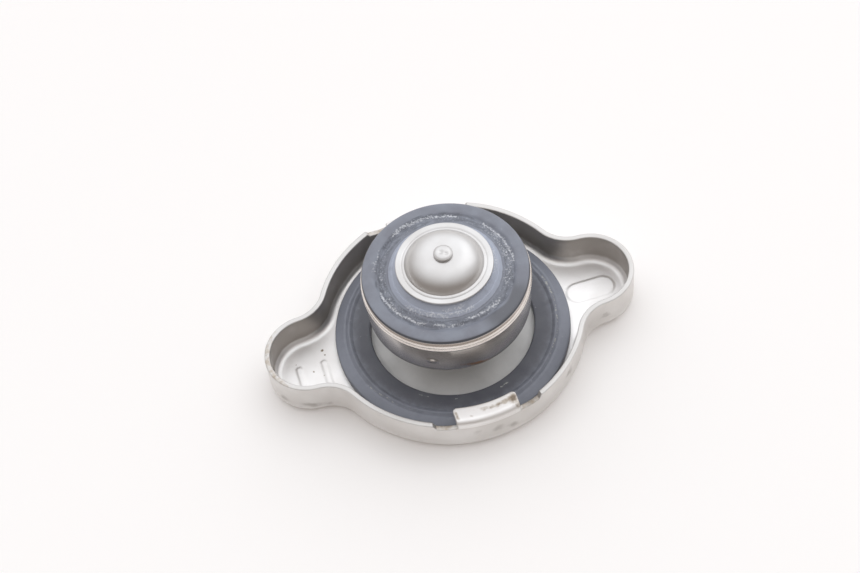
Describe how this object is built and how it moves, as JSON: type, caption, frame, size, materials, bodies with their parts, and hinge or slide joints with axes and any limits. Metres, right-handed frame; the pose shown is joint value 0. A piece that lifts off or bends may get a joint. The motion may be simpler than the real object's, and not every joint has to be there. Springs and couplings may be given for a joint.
{
  "type": "radiator cap",
  "caption": "Pressed-steel bayonet radiator cap with finger ears and folded cam tabs, a rubber neck gasket and a spring-loaded plunger that carries a domed vacuum valve.",
  "frame": {"origin": "on the cap's axis, at the middle of the crown's outer face, which it lies on", "axes": "+X along the two ears towards the ear with the pad, +Y across them towards one cam tab, +Z out of the open side along the valve's stroke"},
  "size_m": [0.0634, 0.0446, 0.024],
  "materials": {
    "shell_steel": "satin stainless steel, scuffed",
    "rivet_steel": "plain steel",
    "plate_steel": "matt rolled steel",
    "gasket_rubber": "matt moulded rubber",
    "spring_steel": "drawn spring wire",
    "cup_steel": "drawn steel, lightly stained",
    "seal_rubber": "worn rubber with pale crust",
    "valve_steel": "bright pressed steel"
  },
  "bodies": {
    "cap": {"cap_shell": "shell_steel"},
    "cage": {"crown_rivet": "rivet_steel", "friction_plate": "plate_steel", "upper_gasket": "gasket_rubber", "spring_cage": "plate_steel", "main_spring": "spring_steel"},
    "plunger": {"plunger_cup": "cup_steel", "valve_plate": "plate_steel", "lower_seal": "seal_rubber", "seal_ferrule": "rivet_steel", "vacuum_spring": "spring_steel"},
    "vacuum": {"vacuum_valve": "valve_steel", "vacuum_stem": "valve_steel", "stem_washer": "rivet_steel"}
  },
  "joints": [
    {"name": "swivel", "type": "hinge", "parent": "cap", "child": "cage", "pos_m": [0, 0, 0], "axis": [0, 0, 1], "continuous": true},
    {"name": "pressure_slide", "type": "slide", "parent": "cage", "child": "plunger", "axis": [0, 0, -1], "range_m": [0, 0.0045], "stiffness_N_per_m": 4000, "deforming": ["main_spring"]},
    {"name": "vacuum_slide", "type": "slide", "parent": "plunger", "child": "vacuum", "axis": [0, 0, 1], "range_m": [0, 0.0018], "stiffness_N_per_m": 200, "deforming": ["vacuum_spring"]}
  ]
}
